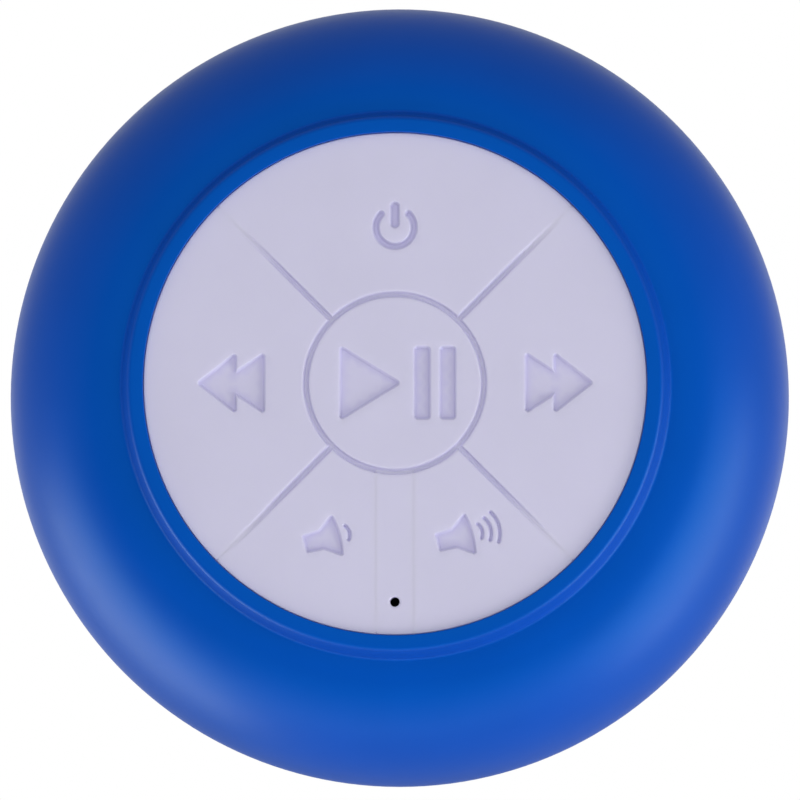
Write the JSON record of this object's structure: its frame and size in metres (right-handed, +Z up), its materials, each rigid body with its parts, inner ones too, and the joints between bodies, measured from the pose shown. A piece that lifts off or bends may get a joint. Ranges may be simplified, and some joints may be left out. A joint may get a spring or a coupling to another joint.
{
  "type": "shower speaker",
  "caption": "Round wireless shower speaker with a soft-touch case, a silicone keypad face, a charging port under a rubber cover and a suction cup that holds it to a smooth wall.",
  "frame": {"origin": "centre of the suction cup's flat rim, in the plane of the wall it holds to", "axes": "+Y into the wall, so the keypad faces -Y; +Z up, towards the power key; +X to the right as seen from in front"},
  "size_m": [0.086, 0.055, 0.086],
  "materials": {
    "soft_touch": "blue plastic with a soft-touch coat, satin",
    "blue_rubber": "soft blue rubber, matt",
    "keypad_silicone": "pale lilac-white silicone, matt, moulded",
    "cup_rubber": "milky soft rubber, smooth and glossy",
    "black_rubber": "black rubber, matt",
    "foam": "black closed-cell foam",
    "screw_steel": "zinc-plated steel",
    "basket_steel": "pressed zinc-plated steel",
    "socket_steel": "bright plated steel",
    "can_metal": "bare aluminium cans",
    "contact_brass": "tinned brass",
    "coil_copper": "enamelled copper winding",
    "ferrite": "dark grey sintered ferrite",
    "circuit_board": "green solder mask over glass-fibre board",
    "black_plastic": "black moulded plastic",
    "stem_plastic": "cream moulded plastic",
    "chip_plastic": "black moulding compound",
    "led_lens": "clear yellowish lens",
    "ribbon_film": "white flat film cable",
    "battery_foil": "matt aluminium laminate pouch",
    "wire_jacket": "red and black wire jackets",
    "spider_cloth": "resin-stiffened yellow cloth",
    "cone_paper": "black pressed paper",
    "mesh_cloth": "fine black water-shedding cloth"
  },
  "bodies": {
    "case": {"front_shell": "soft_touch", "back_cover": "soft_touch", "body_seal": "black_rubber", "case_screws": "screw_steel", "screw_plugs": "blue_rubber", "keypad_web": "keypad_silicone", "key_board": "circuit_board", "key_board_screws": "screw_steel", "switch_cases": "black_plastic", "microphone": "can_metal", "mic_boot": "black_rubber", "status_led": "led_lens", "ribbon_connectors": "black_plastic", "ribbon_cable": "ribbon_film", "main_board": "circuit_board", "main_board_screws": "screw_steel", "bluetooth_chip": "chip_plastic", "amplifier_chip": "chip_plastic", "board_parts": "can_metal", "usb_socket": "socket_steel", "usb_tongue": "black_plastic", "battery": "battery_foil", "battery_pad": "foam", "battery_wires": "wire_jacket", "speaker_frame": "basket_steel", "speaker_terminal": "contact_brass", "speaker_wires": "wire_jacket", "top_plate": "basket_steel", "magnet": "ferrite", "yoke": "basket_steel", "spider": "spider_cloth", "surround": "black_rubber", "speaker_gasket": "foam", "speaker_screws": "screw_steel", "acoustic_mesh": "mesh_cloth", "suction_cup": "cup_rubber", "cup_stud": "screw_steel", "cup_nut": "screw_steel"},
    "key_play": {"key_play": "keypad_silicone"},
    "key_power": {"key_power": "keypad_silicone"},
    "key_previous": {"key_previous": "keypad_silicone"},
    "key_next": {"key_next": "keypad_silicone"},
    "key_volume_down": {"key_volume_down": "keypad_silicone"},
    "key_volume_up": {"key_volume_up": "keypad_silicone"},
    "stem_play": {"stem_play": "stem_plastic"},
    "stem_power": {"stem_power": "stem_plastic"},
    "stem_previous": {"stem_previous": "stem_plastic"},
    "stem_next": {"stem_next": "stem_plastic"},
    "stem_volume_down": {"stem_volume_down": "stem_plastic"},
    "stem_volume_up": {"stem_volume_up": "stem_plastic"},
    "cone": {"cone": "cone_paper", "dust_cap": "cone_paper", "voice_coil": "coil_copper"},
    "usb_cover": {"usb_cover": "blue_rubber"}
  },
  "joints": [
    {"name": "press_play", "type": "slide", "parent": "case", "child": "key_play", "axis": [0, 1, 0], "range_m": [0, 0.0005], "stiffness_N_per_m": 3500},
    {"name": "press_power", "type": "slide", "parent": "case", "child": "key_power", "axis": [0, 1, 0], "range_m": [0, 0.0005], "stiffness_N_per_m": 3500},
    {"name": "press_previous", "type": "slide", "parent": "case", "child": "key_previous", "axis": [0, 1, 0], "range_m": [0, 0.0005], "stiffness_N_per_m": 3500},
    {"name": "press_next", "type": "slide", "parent": "case", "child": "key_next", "axis": [0, 1, 0], "range_m": [0, 0.0005], "stiffness_N_per_m": 3500},
    {"name": "press_volume_down", "type": "slide", "parent": "case", "child": "key_volume_down", "axis": [0, 1, 0], "range_m": [0, 0.0005], "stiffness_N_per_m": 3500},
    {"name": "press_volume_up", "type": "slide", "parent": "case", "child": "key_volume_up", "axis": [0, 1, 0], "range_m": [0, 0.0005], "stiffness_N_per_m": 3500},
    {"name": "switch_play", "type": "slide", "parent": "case", "child": "stem_play", "axis": [0, 1, 0], "range_m": [0, 0.00025]},
    {"name": "switch_power", "type": "slide", "parent": "case", "child": "stem_power", "axis": [0, 1, 0], "range_m": [0, 0.00025]},
    {"name": "switch_previous", "type": "slide", "parent": "case", "child": "stem_previous", "axis": [0, 1, 0], "range_m": [0, 0.00025]},
    {"name": "switch_next", "type": "slide", "parent": "case", "child": "stem_next", "axis": [0, 1, 0], "range_m": [0, 0.00025]},
    {"name": "switch_volume_down", "type": "slide", "parent": "case", "child": "stem_volume_down", "axis": [0, 1, 0], "range_m": [0, 0.00025]},
    {"name": "switch_volume_up", "type": "slide", "parent": "case", "child": "stem_volume_up", "axis": [0, 1, 0], "range_m": [0, 0.00025]},
    {"name": "cone_slide", "type": "slide", "parent": "case", "child": "cone", "axis": [0, 1, 0], "range_m": [-0.001, 0.001], "stiffness_N_per_m": 2500, "deforming": ["surround", "spider"]},
    {"name": "usb_cover_hinge", "type": "hinge", "parent": "case", "child": "usb_cover", "pos_m": [0, -0.0245, -0.0419], "axis": [1, 0, 0], "range_deg": [0, 110]}
  ],
  "couplings": [
    {"joint": "switch_play", "follows": "press_play", "ratio": 0.5},
    {"joint": "switch_power", "follows": "press_power", "ratio": 0.5},
    {"joint": "switch_previous", "follows": "press_previous", "ratio": 0.5},
    {"joint": "switch_next", "follows": "press_next", "ratio": 0.5},
    {"joint": "switch_volume_down", "follows": "press_volume_down", "ratio": 0.5},
    {"joint": "switch_volume_up", "follows": "press_volume_up", "ratio": 0.5}
  ]
}
